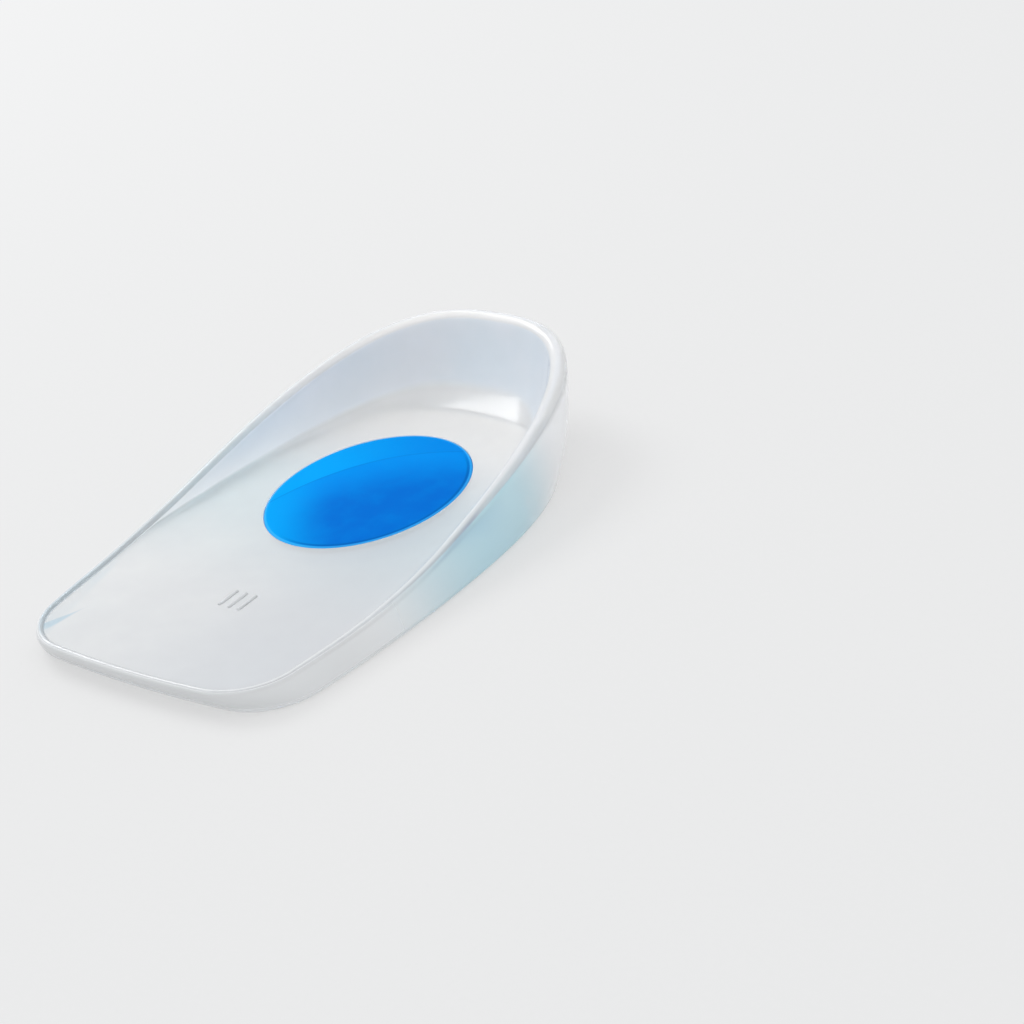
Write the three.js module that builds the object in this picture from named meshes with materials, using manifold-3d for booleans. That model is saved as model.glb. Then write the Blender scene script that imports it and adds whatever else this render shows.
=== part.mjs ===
// Heel cup: a one-piece clear silicone moulding with a softer blue oval pad set in its seat.
// Lengths are in millimetres. The heel is toward +Y, the toe edge toward -Y, and the
// underside lies flat on Z = 0.

import * as THREE from 'three';
import { mergeVertices } from 'three/addons/utils/BufferGeometryUtils.js';
import Module from 'manifold-3d';

const wasm = await Module();
wasm.setup();

// Plan of the rim
const CUP_LENGTH = 110; // toe edge to the back of the rim
const RIM_WIDTH = 60.4; // over the rim at its widest
const TOE_WIDTH = 50.6; // across the toe edge, before its corners are rounded
const WIDEST_Y = -4.8; // where the rim is widest, from the middle of the length
const HEEL_FULLNESS = 2.65; // exponent of the heel curve, 2 is a plain ellipse
const TOE_BOW = 1.7; // how far the toe edge bows forward in its middle
const TOE_CORNER_RADIUS = 13;

// Rim and lip
const RIM_HEIGHT_TOE = 4.8;
const RIM_HEIGHT_HEEL = 19.5;
const LIP_WIDTH_TOE = 1.2;
const LIP_WIDTH_HEEL = 3.4;

// Underside and outer wall
const BASE_IN_AT_HEEL = 11; // underside stands in from the rim at the heel
const BASE_IN_AT_TOE = 2.1; // and at the toe edge
const BASE_OUT_AT_SIDES = 2.5; // but is wider than the rim along the sides
const BASE_EDGE_RADIUS = 1;
const WALL_BULGE = 1.3; // outward belly of the outer wall at full height

// Seat
const SEAT_HEIGHT = 4.1; // thickness of the moulding beside the pad
const SEAT_HEIGHT_TOE = 4.3; // and just behind the toe edge
const WALL_FOOT_IN_SIDES = 3.2; // foot of the inner wall, in from the rim
const WALL_FOOT_IN_HEEL = 9;
const WALL_FOOT_IN_TOE = 3;

// Pad and its recess
const PAD_LENGTH = 42.4;
const PAD_WIDTH = 34.6;
const PAD_Y = 9.6; // centre of the oval
const PAD_DEPTH = 2.2; // how far it reaches below the seat
const PAD_CROWN = 0.4; // rise of its middle above the seat
const PAD_EDGE_RADIUS = 0.5;
const PAD_CLEARANCE = 0.3;

// Raised size bars near the toe
const BAR_COUNT = 3;
const BAR_LENGTH = 5;
const BAR_WIDTH = 0.8;
const BAR_PITCH = 2.1;
const BAR_RISE = 0.35;
const BAR_ROOT = 1.5; // how far a bar is rooted in the moulding
const BARS_X = 3;
const BARS_BEHIND_TOE = 25; // toe edge to the middle of the bars

// Rise of the rim from toe to heel: shares of the length and of the rise in height
const RIM_RISE = [
	{ along: 0, rise: 0 },
	{ along: 0.12, rise: 0 },
	{ along: 0.25, rise: 0.015 },
	{ along: 0.38, rise: 0.105 },
	{ along: 0.5, rise: 0.27 },
	{ along: 0.62, rise: 0.455 },
	{ along: 0.75, rise: 0.655 },
	{ along: 0.88, rise: 0.85 },
	{ along: 1, rise: 1 },
];

// Facets
const TOE_STEPS = 6;
const CORNER_STEPS = 7;
const SIDE_STEPS = 11;
const HEEL_STEPS = 15;
const EDGE_STEPS = 3;
const WALL_STEPS = 5;
const LIP_STEPS = 6;
const SEAT_STEPS = 13;
const PAD_SIDES = 56;
const PAD_TOP_STEPS = 4;

const TOE_Y = -CUP_LENGTH / 2;
const HEEL_Y = CUP_LENGTH / 2;

// Value of a smooth curve through a table's rows
function readTable(table, column, along) {
	const last = table.length - 1;
	const share = THREE.MathUtils.clamp(along, table[0].along, table[last].along);
	let row = 0;
	while (row < last - 1 && share > table[row + 1].along) row += 1;
	const slopeAt = (i) => {
		const before = table[Math.max(i - 1, 0)];
		const after = table[Math.min(i + 1, last)];
		return (after[column] - before[column]) / (after.along - before.along);
	};
	const span = table[row + 1].along - table[row].along;
	const t = (share - table[row].along) / span;
	const start = table[row][column] * (1 + 2 * t) * (1 - t) ** 2;
	const end = table[row + 1][column] * (3 - 2 * t) * t ** 2;
	const leave = slopeAt(row) * span * t * (1 - t) ** 2;
	const arrive = slopeAt(row + 1) * span * t ** 2 * (t - 1);
	return start + end + leave + arrive;
}

const alongCup = (y) => THREE.MathUtils.clamp((y - TOE_Y) / CUP_LENGTH, 0, 1);

function rimHeight(y) {
	const rise = readTable(RIM_RISE, 'rise', alongCup(y));
	return THREE.MathUtils.lerp(RIM_HEIGHT_TOE, RIM_HEIGHT_HEEL, rise);
}

const lipWidth = (y) => THREE.MathUtils.lerp(LIP_WIDTH_TOE, LIP_WIDTH_HEEL, alongCup(y));

// Where two lines meet, each given by a point and a direction
function crossing(p, alongP, q, alongQ) {
	const turn = alongP.cross(alongQ);
	const reach = q.clone().sub(p).cross(alongQ) / turn;
	return p.clone().addScaledVector(alongP, reach);
}

// A rounded corner from p to q, tangent to both sides that meet at the peak
function cornerPoints(p, peak, q, steps) {
	const toStart = p.clone().sub(peak).normalize();
	const toEnd = q.clone().sub(peak).normalize();
	const weight = Math.sin(Math.acos(toStart.dot(toEnd)) / 2);
	const points = [];
	for (let i = 1; i <= steps; i += 1) {
		const t = i / steps;
		const parts = [(1 - t) ** 2, 2 * weight * t * (1 - t), t ** 2];
		const whole = parts[0] + parts[1] + parts[2];
		const point = new THREE.Vector2();
		point.addScaledVector(p, parts[0] / whole);
		point.addScaledVector(peak, parts[1] / whole);
		point.addScaledVector(q, parts[2] / whole);
		points.push(point);
	}
	return points;
}

// Plan outline of the cup, drawn in by a distance at the sides, heel and toe.
// It runs anticlockwise from the middle of the toe edge, with the same number of points
// at each size, so that outlines can be lofted to each other.
function cupOutline(inAtSides, inAtHeel, inAtToe) {
	const halfWidth = RIM_WIDTH / 2 - inAtSides;
	const halfToe = TOE_WIDTH / 2 - inAtSides;
	const toe = TOE_Y + inAtToe;
	const heelReach = HEEL_Y - inAtHeel - WIDEST_Y;
	const sideReach = WIDEST_Y - toe - TOE_BOW;
	const toeEdge = (x) => new THREE.Vector2(x, toe + TOE_BOW * (x / halfToe) ** 2);
	const side = (y) => {
		const forward = (WIDEST_Y - y) / sideReach;
		return new THREE.Vector2(halfWidth - (halfWidth - halfToe) * forward ** 2, y);
	};
	const toeSlope = (x) => new THREE.Vector2(1, 2 * TOE_BOW * x / halfToe ** 2);
	const sideSlope = (y) => {
		return new THREE.Vector2(2 * (halfWidth - halfToe) * (WIDEST_Y - y) / sideReach ** 2, 1);
	};
	const turn = toeSlope(halfToe).angleTo(sideSlope(WIDEST_Y - sideReach));
	const cut = TOE_CORNER_RADIUS * Math.tan(turn / 2);
	const cornerStart = toeEdge(halfToe - cut);
	const cornerEnd = side(WIDEST_Y - sideReach + cut);
	const peak = crossing(
		cornerStart, toeSlope(cornerStart.x), cornerEnd, sideSlope(cornerEnd.y));
	const half = [];
	for (let i = 0; i <= TOE_STEPS; i += 1) half.push(toeEdge(cornerStart.x * i / TOE_STEPS));
	half.push(...cornerPoints(cornerStart, peak, cornerEnd, CORNER_STEPS));
	for (let i = 1; i <= SIDE_STEPS; i += 1) {
		half.push(side(THREE.MathUtils.lerp(cornerEnd.y, WIDEST_Y, i / SIDE_STEPS)));
	}
	for (let i = 1; i <= HEEL_STEPS; i += 1) {
		const angle = Math.PI / 2 * i / HEEL_STEPS;
		const x = halfWidth * Math.max(Math.cos(angle), 0) ** (2 / HEEL_FULLNESS);
		const y = WIDEST_Y + heelReach * Math.sin(angle) ** (2 / HEEL_FULLNESS);
		half.push(new THREE.Vector2(i === HEEL_STEPS ? 0 : x, y));
	}
	const otherHalf = half.slice(1, -1).reverse().map((p) => new THREE.Vector2(-p.x, p.y));
	return [...half, ...otherHalf];
}

// Directions pointing out of a closed outline, one for each of its points
function outwardDirections(outline) {
	return outline.map((point, i) => {
		const before = outline[(i + outline.length - 1) % outline.length];
		const after = outline[(i + 1) % outline.length];
		return new THREE.Vector2(after.y - before.y, before.x - after.x).normalize();
	});
}

// Oval outline with its points in the directions in which the outline around it has them
function ovalOutline(outline, growth) {
	const halfWidth = PAD_WIDTH / 2 + growth;
	const halfLength = PAD_LENGTH / 2 + growth;
	return outline.map((point) => {
		const angle = Math.atan2((point.y - PAD_Y) / halfLength, point.x / halfWidth);
		return new THREE.Vector2(halfWidth * Math.cos(angle), PAD_Y + halfLength * Math.sin(angle));
	});
}

// Closed solid from rings of equal count, the first and last of them closed by flat fans
function loftedGeometry(rings) {
	const count = rings[0].length;
	const positions = rings.flat().flatMap((p) => [p.x, p.y, p.z]);
	const index = [];
	for (let row = 0; row < rings.length - 1; row += 1) {
		for (let i = 0; i < count; i += 1) {
			const next = (i + 1) % count;
			const a = row * count + i;
			const b = row * count + next;
			index.push(a, b, b + count, a, b + count, a + count);
		}
	}
	const addFan = (ring, firstPoint, facesOut) => {
		const middle = positions.length / 3;
		const centre = new THREE.Vector3();
		ring.forEach((p) => centre.addScaledVector(p, 1 / count));
		positions.push(centre.x, centre.y, ring[0].z);
		for (let i = 0; i < count; i += 1) {
			const a = firstPoint + i;
			const b = firstPoint + (i + 1) % count;
			index.push(middle, ...(facesOut ? [a, b] : [b, a]));
		}
	};
	addFan(rings[0], 0, false);
	addFan(rings[rings.length - 1], (rings.length - 1) * count, true);
	const geometry = new THREE.BufferGeometry();
	geometry.setAttribute('position', new THREE.Float32BufferAttribute(positions, 3));
	geometry.setIndex(index);
	return geometry;
}

function toManifold(geometry) {
	const bare = geometry.clone();
	bare.deleteAttribute('normal');
	bare.deleteAttribute('uv');
	const merged = mergeVertices(bare, 1e-4);
	return new wasm.Manifold(new wasm.Mesh({
		numProp: 3,
		vertProperties: new Float32Array(merged.attributes.position.array),
		triVerts: new Uint32Array(merged.index.array),
	}));
}

function fromManifold(solid) {
	const mesh = solid.getMesh();
	const geometry = new THREE.BufferGeometry();
	geometry.setAttribute('position', new THREE.BufferAttribute(mesh.vertProperties, 3));
	geometry.setIndex(new THREE.BufferAttribute(mesh.triVerts, 1));
	return geometry;
}

const RECESS_FLOOR = SEAT_HEIGHT - PAD_DEPTH - PAD_CLEARANCE;

// The clear moulding: rings run from the underside up the outer wall, over the lip, down
// the inner wall and across the seat to the recess for the pad.
function cupBodyRings() {
	const base = cupOutline(-BASE_OUT_AT_SIDES, BASE_IN_AT_HEEL, BASE_IN_AT_TOE);
	const rim = cupOutline(0, 0, 0);
	const wallFoot = cupOutline(WALL_FOOT_IN_SIDES, WALL_FOOT_IN_HEEL, WALL_FOOT_IN_TOE);
	const baseOut = outwardDirections(base);
	const rimOut = outwardDirections(rim);
	const recess = ovalOutline(wallFoot, PAD_CLEARANCE);
	const rings = [];

	for (let i = 0; i <= EDGE_STEPS; i += 1) {
		const angle = Math.PI / 2 * i / EDGE_STEPS;
		const drawnIn = BASE_EDGE_RADIUS * (1 - Math.sin(angle));
		const height = BASE_EDGE_RADIUS * (1 - Math.cos(angle));
		rings.push(base.map((p, k) => new THREE.Vector3(
			p.x - baseOut[k].x * drawnIn, p.y - baseOut[k].y * drawnIn, height)));
	}

	const lipSide = rim.map((p) => rimHeight(p.y) - lipWidth(p.y) / 2);
	for (let i = 1; i < WALL_STEPS; i += 1) {
		const up = i / WALL_STEPS;
		rings.push(base.map((p, k) => {
			const share = (lipSide[k] - BASE_EDGE_RADIUS) / (RIM_HEIGHT_HEEL - BASE_EDGE_RADIUS);
			const belly = WALL_BULGE * share * 4 * up * (1 - up);
			return new THREE.Vector3(
				THREE.MathUtils.lerp(p.x, rim[k].x, up) + baseOut[k].x * belly,
				THREE.MathUtils.lerp(p.y, rim[k].y, up) + baseOut[k].y * belly,
				THREE.MathUtils.lerp(BASE_EDGE_RADIUS, lipSide[k], up));
		}));
	}

	for (let i = 0; i <= LIP_STEPS; i += 1) {
		const angle = Math.PI * 0.9 * i / LIP_STEPS;
		rings.push(rim.map((p, k) => {
			const radius = lipWidth(p.y) / 2;
			const inward = radius * (1 - Math.cos(angle));
			return new THREE.Vector3(
				p.x - rimOut[k].x * inward,
				p.y - rimOut[k].y * inward,
				lipSide[k] + radius * Math.sin(angle));
		}));
	}

	const lipInner = rings[rings.length - 1];
	const padFront = PAD_Y - PAD_LENGTH / 2;
	for (let i = 1; i <= SEAT_STEPS; i += 1) {
		rings.push(lipInner.map((top, k) => {
			const towardPad = THREE.MathUtils.clamp((wallFoot[k].y - TOE_Y) / (padFront - TOE_Y), 0, 1);
			const footHeight = THREE.MathUtils.lerp(SEAT_HEIGHT_TOE, SEAT_HEIGHT, towardPad);
			const foot = new THREE.Vector3(wallFoot[k].x, wallFoot[k].y, footHeight);
			const edge = new THREE.Vector3(recess[k].x, recess[k].y, SEAT_HEIGHT);
			const bend = new THREE.CubicBezierCurve3(
				top, top.clone().lerp(foot, 0.85), edge.clone().lerp(foot, 0.8), edge);
			return bend.getPoint(i / SEAT_STEPS);
		}));
	}
	rings.push(recess.map((p) => new THREE.Vector3(p.x, p.y, RECESS_FLOOR)));
	return rings;
}

// One raised bar with round ends, rooted in the seat
function sizeBar(x) {
	const radius = BAR_WIDTH / 2;
	const straight = BAR_LENGTH / 2 - radius;
	const shape = new THREE.Shape();
	shape.absarc(0, straight, radius, 0, Math.PI, false);
	shape.absarc(0, -straight, radius, Math.PI, 2 * Math.PI, false);
	shape.closePath();
	const bar = new THREE.ExtrudeGeometry(shape, {
		depth: BAR_ROOT + BAR_RISE,
		curveSegments: 4,
		bevelEnabled: false,
	});
	const middleY = TOE_Y + BARS_BEHIND_TOE;
	const toPad = (middleY - TOE_Y) / (PAD_Y - PAD_LENGTH / 2 - TOE_Y);
	const seat = THREE.MathUtils.lerp(SEAT_HEIGHT_TOE, SEAT_HEIGHT, toPad);
	bar.translate(x, middleY, seat - BAR_ROOT);
	return bar;
}

function makeCupBody() {
	let solid = toManifold(loftedGeometry(cupBodyRings()));
	for (let i = 0; i < BAR_COUNT; i += 1) {
		const x = BARS_X + (i - (BAR_COUNT - 1) / 2) * BAR_PITCH;
		solid = solid.add(toManifold(sizeBar(x)));
	}
	const material = new THREE.MeshStandardMaterial({
		color: 0xe4e9ee, roughness: 0.18, metalness: 0, transparent: true, opacity: 0.55,
	});
	const mesh = new THREE.Mesh(fromManifold(solid), material);
	mesh.name = 'cup_body';
	return mesh;
}

// The pad: a shallow oval of softer gel, rounded at its upper edge and slightly crowned
function makeHeelPad() {
	const ring = (drawnIn, height) => {
		const points = [];
		for (let i = 0; i < PAD_SIDES; i += 1) {
			const angle = 2 * Math.PI * i / PAD_SIDES;
			points.push(new THREE.Vector3(
				(PAD_WIDTH / 2 - drawnIn) * Math.cos(angle),
				(PAD_LENGTH / 2 - drawnIn) * Math.sin(angle),
				height));
		}
		return points;
	};
	const rings = [ring(0, -PAD_DEPTH)];
	for (let i = 0; i <= EDGE_STEPS; i += 1) {
		const angle = Math.PI / 2 * i / EDGE_STEPS;
		rings.push(ring(
			PAD_EDGE_RADIUS * (1 - Math.cos(angle)), PAD_EDGE_RADIUS * (Math.sin(angle) - 1)));
	}
	const reach = PAD_WIDTH / 2 - PAD_EDGE_RADIUS;
	for (let i = 1; i < PAD_TOP_STEPS; i += 1) {
		const share = i / PAD_TOP_STEPS;
		const height = PAD_CROWN * (1 - (1 - share) ** 2);
		rings.push(ring(PAD_EDGE_RADIUS + reach * share, height));
	}
	const material = new THREE.MeshStandardMaterial({
		color: 0x0a86e6, roughness: 0.35, metalness: 0,
	});
	const mesh = new THREE.Mesh(loftedGeometry(rings), material);
	mesh.name = 'heel_pad';
	mesh.position.set(0, PAD_Y, SEAT_HEIGHT);
	return mesh;
}

const heelCup = new THREE.Group();
heelCup.add(makeCupBody(), makeHeelPad());

export default heelCup;
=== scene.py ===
import math

import bpy
import numpy as np
from mathutils import Matrix, Vector


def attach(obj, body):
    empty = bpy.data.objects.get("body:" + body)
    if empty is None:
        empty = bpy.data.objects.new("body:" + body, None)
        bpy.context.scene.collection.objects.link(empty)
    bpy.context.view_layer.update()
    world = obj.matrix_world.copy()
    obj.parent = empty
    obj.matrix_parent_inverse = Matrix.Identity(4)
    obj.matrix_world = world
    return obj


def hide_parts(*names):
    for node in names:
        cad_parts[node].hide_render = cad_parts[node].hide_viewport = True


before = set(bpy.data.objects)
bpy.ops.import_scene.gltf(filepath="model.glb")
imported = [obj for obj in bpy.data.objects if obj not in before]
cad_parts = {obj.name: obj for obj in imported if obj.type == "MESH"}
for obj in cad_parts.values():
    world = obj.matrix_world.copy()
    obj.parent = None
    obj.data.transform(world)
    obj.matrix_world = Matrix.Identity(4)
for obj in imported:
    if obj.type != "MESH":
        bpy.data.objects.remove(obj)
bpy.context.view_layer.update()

# The studio: the cup lies level on a plain pale table, seen from above its toe end and to
# one side, under a bright even room and large soft lamps.
# The camera leans a little, so that the cup rises steeply from left to right.
CAMERA_PLACE = Vector((0.23801, -0.24749, 0.18385))
CAMERA_AIM = Vector((0.02482, 0.01806, 0.0))
CAMERA_LEAN = math.radians(8.64)
CAMERA_LENS, CAMERA_SENSOR = 77.34, 36.0
CAMERA_NEAREST = 0.01
ROOM_COLOUR, ROOM_STRENGTH = (0.97, 0.985, 1.0, 1), 0.9
TABLE_SIDE = 6.0
TABLE_DROP = 0.00003
TABLE_GLOW = 0.473

scene = bpy.context.scene
scene.view_settings.view_transform = "Standard"
scene.cycles.max_bounces = 24
scene.cycles.diffuse_bounces = 12
scene.cycles.transmission_bounces = 20

camera = bpy.data.objects.new("camera", bpy.data.cameras.new("camera"))
camera.data.lens = CAMERA_LENS
camera.data.sensor_width = CAMERA_SENSOR
camera.data.clip_start = CAMERA_NEAREST
facing = (CAMERA_AIM - CAMERA_PLACE).normalized()
level = facing.cross(Vector((0, 0, 1))).normalized()
upright = level.cross(facing)
camera_right = level * math.cos(CAMERA_LEAN) - upright * math.sin(CAMERA_LEAN)
camera_up = upright * math.cos(CAMERA_LEAN) + level * math.sin(CAMERA_LEAN)
turned = Matrix((camera_right, camera_up, -facing)).transposed().to_4x4()
camera.matrix_world = Matrix.Translation(CAMERA_PLACE) @ turned
scene.collection.objects.link(camera)
scene.camera = camera


class Wire:
    """A socket in a node tree, so that a pattern or a size is written as plain arithmetic."""

    def __init__(self, tree, socket=None):
        self.tree = tree
        self.socket = socket

    def node(self, kind, settings=None, sockets=None, output=0):
        """Adds a node with its settings, and feeds its sockets from values or other wires."""
        made = self.tree.nodes.new(kind)
        for name, value in (settings or {}).items():
            setattr(made, name, value)
        for name, value in (sockets or {}).items():
            if isinstance(value, Wire):
                self.tree.links.new(value.socket, made.inputs[name])
            else:
                made.inputs[name].default_value = value
        return Wire(self.tree, made.outputs[output] if made.outputs else None)

    def maths(self, operation, *values):
        return self.node("ShaderNodeMath", {"operation": operation}, dict(enumerate(values)))

    def __add__(self, other):
        return self.maths("ADD", self, other)

    def __radd__(self, other):
        return self.maths("ADD", other, self)

    def __sub__(self, other):
        return self.maths("SUBTRACT", self, other)

    def __rsub__(self, other):
        return self.maths("SUBTRACT", other, self)

    def __mul__(self, other):
        return self.maths("MULTIPLY", self, other)

    def __truediv__(self, other):
        return self.maths("DIVIDE", self, other)

    def __pow__(self, power):
        return self.maths("POWER", self, power)

    def __abs__(self):
        return self.maths("ABSOLUTE", self)

    def at_least(self, floor):
        return self.maths("MAXIMUM", self, floor)

    def parts(self):
        """The x, y and z of a vector."""
        split = self.node("ShaderNodeSeparateXYZ", sockets={"Vector": self})
        return [Wire(self.tree, socket) for socket in split.socket.node.outputs]

    def ease(self, low, high):
        """0 below low and 1 above high, with a smooth rise between them."""
        limits = {"Value": self, "From Min": low, "From Max": high}
        return self.node("ShaderNodeMapRange", {"interpolation_type": "SMOOTHSTEP"}, limits)

    def colour(self, low, high):
        """The colour this share of the way from low to high."""
        return self.node("ShaderNodeMix", {"data_type": "RGBA"}, {0: self, 6: low, 7: high}, 2)


def start_material(name):
    """An empty material, with a wire that adds nodes to it."""
    material = bpy.data.materials.new(name)
    material.use_nodes = True
    material.node_tree.nodes.clear()
    return material, Wire(material.node_tree)


def lamp(name, place, aim, width, height, power):
    light = bpy.data.lights.new(name, "AREA")
    light.shape = "RECTANGLE"
    light.size, light.size_y = width, height
    light.energy = power
    holder = bpy.data.objects.new(name, light)
    holder.location = place
    holder.rotation_euler = (Vector(aim) - Vector(place)).to_track_quat("-Z", "Y").to_euler()
    scene.collection.objects.link(holder)


lamp("overhead", (0.1, -0.1, 1.5), (0, 0, 0), 1.4, 1.4, 3.0)
lamp("left_softbox", (-0.7, 0.16, 0.68), (0, 0.03, 0), 0.5, 0.42, 3.6)

room = bpy.data.worlds.new("room")
room.use_nodes = True
room_light = room.node_tree.nodes["Background"]
room_light.inputs["Color"].default_value = ROOM_COLOUR
room_light.inputs["Strength"].default_value = ROOM_STRENGTH
scene.world = room

half = TABLE_SIDE / 2
table_mesh = bpy.data.meshes.new("table")
table_mesh.from_pydata(
    [(-half, -half, -TABLE_DROP), (half, -half, -TABLE_DROP),
     (half, half, -TABLE_DROP), (-half, half, -TABLE_DROP)], [], [(0, 1, 2, 3)])
table = bpy.data.objects.new("table", table_mesh)
scene.collection.objects.link(table)
paper, pen = start_material("pale_table")
paper_place = pen.node("ShaderNodeTexCoord", output="Object")
paper_grain = pen.node("ShaderNodeTexNoise", sockets={"Vector": paper_place, "Scale": 900.0})
paper_shader = pen.node("ShaderNodeBsdfPrincipled", sockets={
    "Base Color": paper_grain.colour((0.295, 0.295, 0.295, 1), (0.305, 0.305, 0.305, 1)),
    "Roughness": 0.95,
    "Specular IOR Level": 0.0,
    "Emission Color": (1.0, 1.0, 1.0, 1),
    "Emission Strength": TABLE_GLOW,
})
pen.node("ShaderNodeOutputMaterial", sockets={"Surface": paper_shader})
table_mesh.materials.append(paper)

# The cup: one soft moulding of clear, slightly milky silicone, with a flat underside, a
# bead of a lip that climbs from the toe edge to the heel, and a shallow recess for the pad.
# It is cast in one piece, so that its walls thicken softly towards their foot.
CUP_LENGTH = 110.0
RIM_WIDTH = 60.4
TOE_WIDTH = 50.6
WIDEST_Y = -4.8
HEEL_FULLNESS = 2.65
TOE_BOW = 1.7
TOE_CORNER_RADIUS = 13.0
RIM_HEIGHT_TOE, RIM_HEIGHT_HEEL = 4.8, 19.5
LIP_WIDTH_TOE, LIP_WIDTH_HEEL = 1.2, 3.4
BASE_IN_AT_HEEL, BASE_IN_AT_TOE, BASE_OUT_AT_SIDES = 11.0, 2.1, 2.5
BASE_EDGE_RADIUS = 1.0
WALL_BULGE = 1.3
LIP_TURN = math.radians(162.0)
SEAT_HEIGHT, SEAT_HEIGHT_TOE = 4.1, 4.3
WALL_FOOT_IN_SIDES, WALL_FOOT_IN_HEEL, WALL_FOOT_IN_TOE = 3.2, 9.0, 3.0
WALL_PULL, SEAT_PULL = 0.85, 0.8
PAD_LENGTH, PAD_WIDTH = 42.4, 34.6
PAD_Y = 9.6
RECESS_GAP = 0.04
RECESS_FLOOR = 1.6
RECESS_EDGE_RADIUS = 0.15
RIM_ALONG = np.array([0, 0.12, 0.25, 0.38, 0.5, 0.62, 0.75, 0.88, 1])
RIM_RISE = np.array([0, 0, 0.015, 0.105, 0.27, 0.455, 0.655, 0.85, 1])
TOE_Y, HEEL_Y = -CUP_LENGTH / 2, CUP_LENGTH / 2
TOE_STEPS, CORNER_STEPS, SIDE_STEPS, HEEL_STEPS = 12, 18, 36, 56
EDGE_STEPS, WALL_STEPS, LIP_STEPS, SEAT_STEPS, RECESS_STEPS = 6, 14, 16, 46, 4
SEAT_STEP_GROWTH = 1.15
FOOT_EDGE_MARK, UNDERSIDE_MARK, RECESS_EDGE_MARK, RECESS_MARK = -0.2, -1.0, 3.1, 4.0
STREAK_ANGLE = math.radians(16.56)
SILICONE_IOR = 1.41
MM = 0.001


def along_cup(y):
    return np.clip((y - TOE_Y) / CUP_LENGTH, 0, 1)


def rim_height(y):
    """Height of the rim, on a smooth curve through the rows of the rise."""
    share = along_cup(y)
    last = len(RIM_ALONG) - 1
    row = np.clip(np.searchsorted(RIM_ALONG, share, side="left") - 1, 0, last - 1)
    before = np.maximum(np.arange(last + 1) - 1, 0)
    after = np.minimum(np.arange(last + 1) + 1, last)
    slope = (RIM_RISE[after] - RIM_RISE[before]) / (RIM_ALONG[after] - RIM_ALONG[before])
    span = RIM_ALONG[row + 1] - RIM_ALONG[row]
    t = (share - RIM_ALONG[row]) / span
    rise = RIM_RISE[row] * (1 + 2 * t) * (1 - t) ** 2
    rise += RIM_RISE[row + 1] * (3 - 2 * t) * t ** 2
    rise += slope[row] * span * t * (1 - t) ** 2
    rise += slope[row + 1] * span * t ** 2 * (t - 1)
    return RIM_HEIGHT_TOE + (RIM_HEIGHT_HEEL - RIM_HEIGHT_TOE) * rise


def lip_width(y):
    return LIP_WIDTH_TOE + (LIP_WIDTH_HEEL - LIP_WIDTH_TOE) * along_cup(y)


def cup_outline(in_at_sides, in_at_heel, in_at_toe):
    """Plan of the cup, drawn in at its sides, heel and toe, anticlockwise from mid toe."""
    half_width = RIM_WIDTH / 2 - in_at_sides
    half_toe = TOE_WIDTH / 2 - in_at_sides
    toe = TOE_Y + in_at_toe
    heel_reach = HEEL_Y - in_at_heel - WIDEST_Y
    side_reach = WIDEST_Y - toe - TOE_BOW

    def toe_edge(x):
        return np.array([x, toe + TOE_BOW * (x / half_toe) ** 2])

    def side(y):
        forward = (WIDEST_Y - y) / side_reach
        return np.array([half_width - (half_width - half_toe) * forward ** 2, y])

    def toe_slope(x):
        return Vector((1, 2 * TOE_BOW * x / half_toe ** 2))

    def side_slope(y):
        return Vector((2 * (half_width - half_toe) * (WIDEST_Y - y) / side_reach ** 2, 1))

    turn = toe_slope(half_toe).angle(side_slope(WIDEST_Y - side_reach))
    cut = TOE_CORNER_RADIUS * math.tan(turn / 2)
    start = toe_edge(half_toe - cut)
    end = side(WIDEST_Y - side_reach + cut)
    leave, arrive = np.array(toe_slope(start[0])), np.array(side_slope(end[1]))
    gap = end - start
    reach = (gap[0] * arrive[1] - gap[1] * arrive[0]) / (
        leave[0] * arrive[1] - leave[1] * arrive[0])
    peak = start + leave * reach
    opening = Vector(start - peak).angle(Vector(end - peak))
    weight = math.sin(opening / 2)
    half_plan = [toe_edge(start[0] * i / TOE_STEPS) for i in range(TOE_STEPS + 1)]
    for i in range(1, CORNER_STEPS + 1):
        t = i / CORNER_STEPS
        parts = np.array([(1 - t) ** 2, 2 * weight * t * (1 - t), t ** 2])
        parts = parts / parts.sum()
        half_plan.append(start * parts[0] + peak * parts[1] + end * parts[2])
    for i in range(1, SIDE_STEPS + 1):
        half_plan.append(side(end[1] + (WIDEST_Y - end[1]) * i / SIDE_STEPS))
    for i in range(1, HEEL_STEPS + 1):
        angle = math.pi / 2 * i / HEEL_STEPS
        x = half_width * max(math.cos(angle), 0) ** (2 / HEEL_FULLNESS)
        y = WIDEST_Y + heel_reach * math.sin(angle) ** (2 / HEEL_FULLNESS)
        half_plan.append(np.array([0 if i == HEEL_STEPS else x, y]))
    half_plan = np.array(half_plan)
    return np.vstack([half_plan, half_plan[1:-1][::-1] * [-1, 1]])


def outward(outline):
    """Directions out of an outline, one for each of its points."""
    run = np.roll(outline, -1, 0) - np.roll(outline, 1, 0)
    out = np.column_stack([run[:, 1], -run[:, 0]])
    return out / np.linalg.norm(out, axis=1)[:, None]


def raised(outline, height):
    """An outline as a ring at a height, or at one height for each of its points."""
    return np.column_stack([outline, np.broadcast_to(height, len(outline))])


def pad_oval(outline, growth):
    """The pad's oval, with its points in the directions of the outline's around it."""
    half_width, half_length = PAD_WIDTH / 2 + growth, PAD_LENGTH / 2 + growth
    angle = np.arctan2((outline[:, 1] - PAD_Y) / half_length, outline[:, 0] / half_width)
    return np.column_stack([half_width * np.cos(angle), PAD_Y + half_length * np.sin(angle)])


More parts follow.
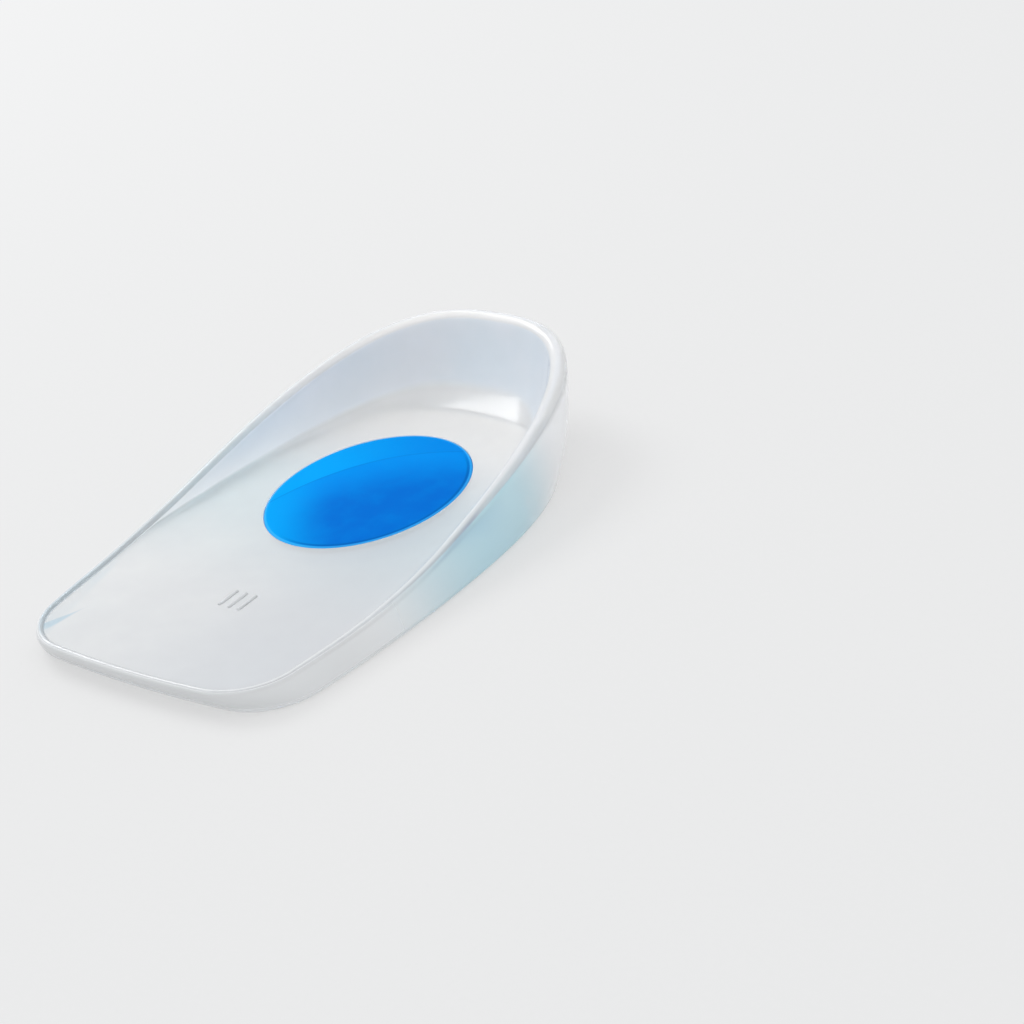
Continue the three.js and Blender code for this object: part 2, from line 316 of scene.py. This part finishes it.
def cup_rings():
    """Rings from the underside up the outer wall, over the lip, down and into the recess."""
    base = cup_outline(-BASE_OUT_AT_SIDES, BASE_IN_AT_HEEL, BASE_IN_AT_TOE)
    rim = cup_outline(0, 0, 0)
    foot = cup_outline(WALL_FOOT_IN_SIDES, WALL_FOOT_IN_HEEL, WALL_FOOT_IN_TOE)
    base_out, rim_out = outward(base), outward(rim)
    rings = []
    for i in range(EDGE_STEPS + 1):
        angle = math.pi / 2 * i / EDGE_STEPS
        drawn_in = BASE_EDGE_RADIUS * (1 - math.sin(angle))
        rings.append(raised(
            base - base_out * drawn_in, BASE_EDGE_RADIUS * (1 - math.cos(angle))))
    radius = lip_width(rim[:, 1]) / 2
    lip_side = rim_height(rim[:, 1]) - radius
    share = (lip_side - BASE_EDGE_RADIUS) / (RIM_HEIGHT_HEEL - BASE_EDGE_RADIUS)
    for i in range(1, WALL_STEPS):
        up = i / WALL_STEPS
        belly = WALL_BULGE * share * 4 * up * (1 - up)
        rings.append(raised(
            base + (rim - base) * up + base_out * belly[:, None],
            BASE_EDGE_RADIUS + (lip_side - BASE_EDGE_RADIUS) * up))
    for i in range(LIP_STEPS + 1):
        angle = LIP_TURN * i / LIP_STEPS
        inward = radius * (1 - math.cos(angle))
        rings.append(raised(rim - rim_out * inward[:, None], lip_side + radius * math.sin(angle)))
    lip_inner = rings[-1]
    pad_front = PAD_Y - PAD_LENGTH / 2
    toward_pad = np.clip((foot[:, 1] - TOE_Y) / (pad_front - TOE_Y), 0, 1)
    foot = raised(foot, SEAT_HEIGHT_TOE + (SEAT_HEIGHT - SEAT_HEIGHT_TOE) * toward_pad)
    edge = raised(pad_oval(foot, RECESS_GAP + RECESS_EDGE_RADIUS), SEAT_HEIGHT)
    upper = lip_inner + (foot - lip_inner) * WALL_PULL
    lower = edge + (foot - edge) * SEAT_PULL
    for i in range(1, SEAT_STEPS + 1):
        t = (i / SEAT_STEPS) ** SEAT_STEP_GROWTH
        rings.append(
            lip_inner * (1 - t) ** 3 + upper * 3 * t * (1 - t) ** 2
            + lower * 3 * t ** 2 * (1 - t) + edge * t ** 3)
    for i in range(1, RECESS_STEPS + 1):
        angle = math.pi / 2 * i / RECESS_STEPS
        rings.append(raised(
            pad_oval(edge, RECESS_GAP + RECESS_EDGE_RADIUS * (1 - math.sin(angle))),
            SEAT_HEIGHT - RECESS_EDGE_RADIUS * (1 - math.cos(angle))))
    rings.append(raised(pad_oval(edge, RECESS_GAP), RECESS_FLOOR))
    return rings


def lofted(name, rings):
    """A closed smooth piece from rings in millimetres, its two ends closed by fans."""
    count = len(rings[0])
    points = [point for ring in rings for point in ring]
    faces = []
    for row in range(len(rings) - 1):
        for i in range(count):
            a, b = row * count + i, row * count + (i + 1) % count
            faces.append((a, b, b + count, a + count))
    for ring, first, facing_out in ((rings[0], 0, False), (rings[-1], len(points) - count, True)):
        middle = len(points)
        points.append(ring.mean(axis=0))
        for i in range(count):
            a, b = first + i, first + (i + 1) % count
            faces.append((middle, a, b) if facing_out else (middle, b, a))
    mesh = bpy.data.meshes.new(name)
    mesh.from_pydata([tuple(point * MM) for point in points], [], faces)
    mesh.shade_smooth()
    piece = bpy.data.objects.new(name, mesh)
    scene.collection.objects.link(piece)
    return piece


def mark_section(piece, count):
    """Notes how far along its section each point is: 0 to 1 up the outer wall, 1 to 2 over
    the lip, and 2 to 3 down the inner wall and over the seat."""
    rows = [FOOT_EDGE_MARK * (1 - i / EDGE_STEPS) for i in range(EDGE_STEPS)]
    rows += [i / WALL_STEPS for i in range(WALL_STEPS)]
    rows += [1 + i / LIP_STEPS for i in range(LIP_STEPS + 1)]
    rows += [2 + i / SEAT_STEPS for i in range(1, SEAT_STEPS + 1)]
    rows += [RECESS_EDGE_MARK] * RECESS_STEPS + [RECESS_MARK]
    marks = np.append(np.repeat(rows, count), [UNDERSIDE_MARK, RECESS_MARK])
    section = piece.data.attributes.new("section", "FLOAT", "POINT")
    section.data.foreach_set("value", marks)


def seat_tone_and_painted_light(across, along, drift):
    """Off-white, with painted shade greyer on the near side of the toe half and painted light,
    creamy, behind the pad.
    """
    tint = drift.ease(0.3, 0.7).colour((0.95, 0.96, 0.97, 1), (0.985, 0.985, 0.985, 1))
    # Painted shade: greyer over the near side of the toe half.
    near_toe_painted_shade = across.ease(-0.02, 0.022) * (1 - along.ease(0.0, 0.03))
    tint = near_toe_painted_shade.colour(tint, (0.80, 0.825, 0.86, 1))
    # Painted light: creamy and brighter behind the pad, where the heel walls shade the seat.
    return along.ease(0.02, 0.034).colour(tint, (1.0, 0.985, 0.965, 1))


def inner_wall_painted_shade(high_wall, drift):
    """Painted shade: blue-grey where the wall stands high, and nearly white where it runs out at
    the toe.
    """
    tint = drift.ease(0.35, 0.65).colour((0.83, 0.90, 0.96, 1), (0.88, 0.915, 0.96, 1))
    return high_wall.colour((0.95, 0.98, 1.0, 1), tint)


def outer_tint_and_pad_glow(along, drift):
    """Nearly white, with a broad cloud of light blue halfway along the cup: the pad's blue
    painted in as it shows through the clear wall.
    """
    cloud = along.ease(-0.03, 0.002) * (1 - along.ease(0.01, 0.028)) * drift.ease(0.1, 0.45)
    return cloud.colour((0.975, 0.975, 0.98, 1), (0.61, 0.86, 0.94, 1))


def painted_refraction_streak(across, along):
    """A painted refraction: a thin wedge of blue that runs from the far toe corner into the seat.
    """
    off_line = abs(across * math.cos(STREAK_ANGLE) - along * math.sin(STREAK_ANGLE) + 0.0077)
    narrowing = along.ease(-0.0505, -0.0405) * 0.0013
    ends = along.ease(-0.0515, -0.049) * (1 - along.ease(-0.041, -0.0395))
    return (1 - (off_line + narrowing).ease(0.0007, 0.0014)) * ends


def silicone():
    """Clear silicone with a milky haze: whitest on the lip, where a highlight is painted, and
    blue-grey painted shade down its walls.
    """
    material, pen = start_material("clear_silicone")
    place = pen.node("ShaderNodeTexCoord", output="Object")
    across, along, _ = place.parts()
    _, _, upright = pen.node("ShaderNodeNewGeometry", output="Normal").parts()
    section = pen.node("ShaderNodeAttribute", {"attribute_name": "section"}, output="Fac")
    drift = pen.node("ShaderNodeTexNoise", sockets={
        "Vector": place, "Scale": 55.0, "Detail": 3.0, "Roughness": 0.5})
    fine = pen.node("ShaderNodeTexNoise", sockets={
        "Vector": place, "Scale": 1400.0, "Detail": 2.0, "Roughness": 0.5})
    ripple = pen.node("ShaderNodeTexNoise", sockets={
        "Vector": place, "Scale": 240.0, "Detail": 1.0, "Roughness": 0.4})

    toward_toe = 1 - along.ease(-0.03, 0.045)
    high_wall = along.ease(-0.01, 0.05)
    painted_lip_highlight = section.ease(1.3, 1.5) * (1 - section.ease(1.55, 1.75))
    from_outside = section - toward_toe * 0.4
    outside = 1 - from_outside.ease(0.88, 1.0)
    lip = from_outside.ease(0.95, 1.15) * (1 - section.ease(1.8, 2.04))
    inside = section.ease(1.9, 2.0)
    # Painted shade: the inner wall's steep faces, picked by how far their normal leans from
    # upright, take the blue-grey wall colour.
    wall = inside * (1 - upright.ease(0.68, 0.82))
    seen = section.ease(-0.2, -0.15) * (1 - section.ease(3.3, 3.7))
    # Painted shade: the toe's outer face is painted an even grey, and made rougher and milkier.
    shaded_toe_band = section.ease(0.0, 0.05) * (1 - section.ease(1.2, 1.35))
    shaded_toe_band = shaded_toe_band * (1 - along.ease(-0.038, -0.012))
    painted_corner_shade = (1 - across.ease(-0.026, -0.016)) * (1 - along.ease(-0.04, -0.012))
    far_band = inside * (1 - (across + along * 0.25).ease(-0.034, -0.0325))

    colour = wall.colour(seat_tone_and_painted_light(across, along, drift), inner_wall_painted_shade(high_wall, drift))
    colour = outside.colour(colour, outer_tint_and_pad_glow(along, drift))
    # Painted shade: the lip's bead towards the toe, beside its crest, is greyed to an even band.
    colour = (lip * toward_toe * (1 - painted_lip_highlight)).colour(colour, (0.84, 0.85, 0.86, 1))
    colour = shaded_toe_band.colour(colour, (0.74, 0.75, 0.755, 1))
    # Painted highlight: a thin near-white line along the lip's crest.
    colour = painted_lip_highlight.colour(colour, (0.94, 0.945, 0.96, 1))
    # Painted shade: light blue over the lip and inner wall in the far toe corner.
    colour = (painted_corner_shade * (lip + wall) * 0.9).colour(colour, (0.78, 0.90, 0.97, 1))
    colour = (far_band * drift.ease(0.3, 0.7) * 0.7).colour(colour, (0.76, 0.89, 0.96, 1))
    # Painted refraction: the thin blue wedge from the far toe corner.
    streak = painted_refraction_streak(across, along) * inside * 0.8
    colour = streak.colour(colour, (0.55, 0.76, 0.90, 1))

    milk = 0.38 + outside * (0.24 + along.ease(0.015, 0.04) * 0.2) + painted_lip_highlight * 0.1
    milk = milk + lip * (1 - toward_toe) * 0.12 + wall * (0.1 + (1 - high_wall) * 0.4)
    milk = (milk + shaded_toe_band * 0.25 + (drift - 0.5) * 0.1) * seen

    bump = pen.node("ShaderNodeBump", sockets={
        "Strength": 0.12, "Distance": 0.00004, "Height": ripple * 0.8 + fine * 0.2})
    skin = {
        "Base Color": colour,
        "Roughness": 0.12 + drift.ease(0.25, 0.75) * 0.1 + shaded_toe_band * 0.25,
        "IOR": SILICONE_IOR,
        "Normal": bump,
    }
    clear = pen.node("ShaderNodeBsdfPrincipled", sockets=skin | {"Transmission Weight": 1.0})
    milky = pen.node("ShaderNodeBsdfPrincipled", sockets=skin)
    shader = pen.node("ShaderNodeMixShader", sockets={0: milk, 1: clear, 2: milky})
    pen.node("ShaderNodeOutputMaterial", sockets={"Surface": shader})
    return material


rings = cup_rings()
cup = lofted("cup", rings)
mark_section(cup, len(rings[0]))
clear_silicone = silicone()
cup.data.materials.append(clear_silicone)
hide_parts("cup_body")
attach(cup, "root")

# The size mark: three short round-topped bars that stand up from the seat near the toe.
# They are cut into the mould, so they are the same silicone as the seat they rise from.
BAR_COUNT = 3
BAR_LENGTH, BAR_WIDTH, BAR_PITCH, BAR_RISE = 5.0, 0.8, 2.1, 0.35
BAR_SINK = 0.02
BARS_X, BARS_Y = 3.0, TOE_Y + 25.0
# The bars carry the lip crest's section mark, so they take its painted highlight colour and milk.
BAR_LIP_HIGHLIGHT_MARK = 1.55
ROD_POINTS, ROD_SIDES = 65, 16


def bar_tree():
    """Bars in a row: one rod with round ends, repeated across the seat and cut off by it."""
    tree = bpy.data.node_groups.new("size_bars", "GeometryNodeTree")
    pen = Wire(tree)
    sizes = {}
    for label, kind in (("Count", "Int"), ("Pitch", "Float"), ("Length", "Float"),
                        ("Width", "Float"), ("Seat", "Float"), ("Centre", "Vector")):
        socket = tree.interface.new_socket(label, in_out="INPUT", socket_type="NodeSocket" + kind)
        sizes[label] = socket.identifier
    tree.interface.new_socket("Geometry", in_out="OUTPUT", socket_type="NodeSocketGeometry")
    given = tree.nodes.new("NodeGroupInput")
    size = {label: Wire(tree, given.outputs[label]) for label in sizes}
    end = pen.node("ShaderNodeCombineXYZ", sockets={"Y": size["Length"] * 0.5})
    start = pen.node("ShaderNodeCombineXYZ", sockets={"Y": size["Length"] * -0.5})
    rod = pen.node("GeometryNodeCurvePrimitiveLine", sockets={"Start": start, "End": end})
    rod = pen.node("GeometryNodeResampleCurve", sockets={"Curve": rod, "Count": ROD_POINTS})
    share = pen.node("GeometryNodeSplineParameter", output="Factor")
    round_end = size["Width"] * 0.5
    from_end = (0.5 - abs(share - 0.5)) * size["Length"]
    into_end = (1 - from_end / round_end).at_least(0.0)
    swell = (1 - into_end * into_end) ** 0.5
    section = pen.node("GeometryNodeCurvePrimitiveCircle", sockets={
        "Resolution": ROD_SIDES, "Radius": round_end})
    bar = pen.node("GeometryNodeCurveToMesh", sockets={
        "Curve": rod, "Profile Curve": section, "Scale": swell})
    bar = pen.node("GeometryNodeMergeByDistance", sockets={"Geometry": bar, "Distance": 1e-6})
    step = pen.node("ShaderNodeCombineXYZ", sockets={"X": size["Pitch"]})
    reach = pen.node("ShaderNodeCombineXYZ", sockets={
        "X": size["Pitch"] * (size["Count"] - 1) * -0.5})
    first = pen.node("ShaderNodeVectorMath", {"operation": "ADD"}, {0: size["Centre"], 1: reach})
    row = pen.node("GeometryNodeMeshLine", sockets={
        "Count": size["Count"], "Start Location": first, "Offset": step})
    bars = pen.node("GeometryNodeInstanceOnPoints", sockets={"Points": row, "Instance": bar})
    bars = pen.node("GeometryNodeRealizeInstances", sockets={"Geometry": bars})
    x, y, z = pen.node("GeometryNodeInputPosition").parts()
    on_seat = pen.node("ShaderNodeCombineXYZ", sockets={
        "X": x, "Y": y, "Z": z.at_least(size["Seat"])})
    bars = pen.node("GeometryNodeSetPosition", sockets={"Geometry": bars, "Position": on_seat})
    bars = pen.node("GeometryNodeStoreNamedAttribute", {"data_type": "FLOAT"}, {
        "Geometry": bars, "Name": "section", "Value": BAR_LIP_HIGHLIGHT_MARK})
    bars = pen.node("GeometryNodeSetShadeSmooth", sockets={"Geometry": bars})
    bars = pen.node("GeometryNodeSetMaterial", sockets={
        "Geometry": bars, "Material": clear_silicone})
    pen.node("NodeGroupOutput", sockets={"Geometry": bars})
    return tree, sizes


def grown(name, tree, values):
    """Runs a geometry tree once, with its inputs set, and keeps the result as a plain mesh."""
    seed = bpy.data.objects.new(name + "_seed", bpy.data.meshes.new(name + "_seed"))
    scene.collection.objects.link(seed)
    modifier = seed.modifiers.new("grow", "NODES")
    modifier.node_group = tree
    for identifier, value in values.items():
        modifier[identifier] = value
    shown = seed.evaluated_get(bpy.context.evaluated_depsgraph_get())
    mesh = bpy.data.meshes.new_from_object(shown)
    seed.modifiers.remove(modifier)
    bpy.data.objects.remove(seed)
    mesh.name = name
    piece = bpy.data.objects.new(name, mesh)
    scene.collection.objects.link(piece)
    return piece


bars_tree, bar_inputs = bar_tree()
toward_pad = (BARS_Y - TOE_Y) / (PAD_Y - PAD_LENGTH / 2 - TOE_Y)
seat_there = SEAT_HEIGHT_TOE + (SEAT_HEIGHT - SEAT_HEIGHT_TOE) * toward_pad
bar_centre = (BARS_X, BARS_Y, seat_there + BAR_RISE - BAR_WIDTH / 2)
size_bars = grown("size_bars", bars_tree, {
    bar_inputs["Count"]: BAR_COUNT,
    bar_inputs["Pitch"]: BAR_PITCH * MM,
    bar_inputs["Length"]: BAR_LENGTH * MM,
    bar_inputs["Width"]: BAR_WIDTH * MM,
    bar_inputs["Seat"]: (seat_there - BAR_SINK) * MM,
    bar_inputs["Centre"]: [value * MM for value in bar_centre],
})
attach(size_bars, "root")

# The heel pad: a shallow oval cushion of softer blue gel, cast into the recess in the seat.
# Its top is slightly crowned and rounded over at its edge, and flush with the seat there.
PAD_DEPTH = 2.2
PAD_CROWN = 0.4
PAD_EDGE_RADIUS = 0.4
PAD_FOOT_CUT = 0.3
PAD_SIDES, PAD_EDGE_STEPS, PAD_TOP_STEPS = 160, 8, 24
HIGHLIGHT_EDGE_ANGLE = math.radians(46.05)


def pad_rings():
    """Rings from the pad's underside up its side, over its edge and in to its middle."""
    around = np.linspace(0, 2 * math.pi, PAD_SIDES, endpoint=False)

    def ring(drawn_in, height):
        return np.column_stack([
            (PAD_WIDTH / 2 - drawn_in) * np.cos(around),
            PAD_Y + (PAD_LENGTH / 2 - drawn_in) * np.sin(around),
            np.full(PAD_SIDES, SEAT_HEIGHT + height)])

    rings = [ring(PAD_FOOT_CUT, -PAD_DEPTH), ring(0, -PAD_DEPTH + PAD_FOOT_CUT)]
    for i in range(PAD_EDGE_STEPS + 1):
        angle = math.pi / 2 * i / PAD_EDGE_STEPS
        rings.append(ring(
            PAD_EDGE_RADIUS * (1 - math.cos(angle)), PAD_EDGE_RADIUS * (math.sin(angle) - 1)))
    reach = PAD_WIDTH / 2 - PAD_EDGE_RADIUS
    for i in range(1, PAD_TOP_STEPS):
        share = i / PAD_TOP_STEPS
        rings.append(ring(PAD_EDGE_RADIUS + reach * share, PAD_CROWN * (1 - (1 - share) ** 2)))
    return rings


def blue_gel():
    """Azure gel: paler beyond a soft curved line, as a painted highlight band, and deeper on the
    near side of it, as painted shade.
    """
    material, pen = start_material("blue_gel")
    place = pen.node("ShaderNodeTexCoord", output="Object")
    x, y, _ = place.parts()
    across = x / (PAD_WIDTH / 2 * MM)
    along = (y - PAD_Y * MM) / (PAD_LENGTH / 2 * MM)
    mottle = pen.node("ShaderNodeTexNoise", sockets={
        "Vector": place, "Scale": 210.0, "Detail": 3.0, "Roughness": 0.55})
    skin = pen.node("ShaderNodeTexNoise", sockets={
        "Vector": place, "Scale": 1600.0, "Detail": 2.0, "Roughness": 0.5})
    # Painted highlight: a paler band beyond a soft curved line across the pad, edged by a thin
    # line of painted shade.
    aslant = across * math.cos(HIGHLIGHT_EDGE_ANGLE) + along * math.sin(HIGHLIGHT_EDGE_ANGLE)
    past_highlight_edge = along * math.cos(HIGHLIGHT_EDGE_ANGLE) - across * math.sin(HIGHLIGHT_EDGE_ANGLE)
    past_highlight_edge = past_highlight_edge + aslant * aslant * 0.28 - 0.51
    highlight_band = past_highlight_edge.ease(-0.012, 0.012)
    highlight_edge_shade = (1 - abs(past_highlight_edge + 0.005).ease(0.004, 0.018)) * 0.35
    # Painted shade: the blue deepens on the near side of that line.
    near = past_highlight_edge.ease(-0.75, -0.02).colour((0.0, 0.135, 0.56, 1), (0.0, 0.235, 0.73, 1))
    near = aslant.ease(-1.0, -0.3).colour((0.0, 0.32, 0.80, 1), near)
    far = aslant.ease(-0.6, 0.9).colour((0.0, 0.33, 0.82, 1), (0.0, 0.215, 0.70, 1))
    colour = highlight_band.colour(near, far)
    colour = highlight_edge_shade.colour(colour, (0.0, 0.12, 0.52, 1))
    colour = (mottle.ease(0.35, 0.75) * 0.14).colour(colour, (0.0, 0.31, 0.8, 1))
    from_middle = (across * across + along * along) ** 0.5
    near_edge = (across - along * 0.4).ease(0.0, 0.6)
    edge_shade = from_middle.ease(0.935, 0.955) * (1 - from_middle.ease(0.962, 0.975))
    colour = (edge_shade * near_edge * 0.7).colour(colour, (0.0, 0.10, 0.36, 1))
    # Painted highlight: a thin cyan line round the pad's rounded rim.
    colour = (from_middle.ease(0.968, 0.985) * 0.6).colour(colour, (0.05, 0.45, 0.86, 1))
    bump = pen.node("ShaderNodeBump", sockets={
        "Strength": 0.3, "Distance": 0.00005, "Height": mottle * 0.7 + skin * 0.3})
    shader = pen.node("ShaderNodeBsdfPrincipled", sockets={
        "Base Color": colour,
        "Roughness": 0.3 + mottle * 0.15,
        "IOR": SILICONE_IOR,
        "Specular IOR Level": 0.01,
        "Normal": bump,
    })
    pen.node("ShaderNodeOutputMaterial", sockets={"Surface": shader})
    return material


pad = lofted("pad", pad_rings())
pad.data.materials.append(blue_gel())
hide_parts("heel_pad")
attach(pad, "root")
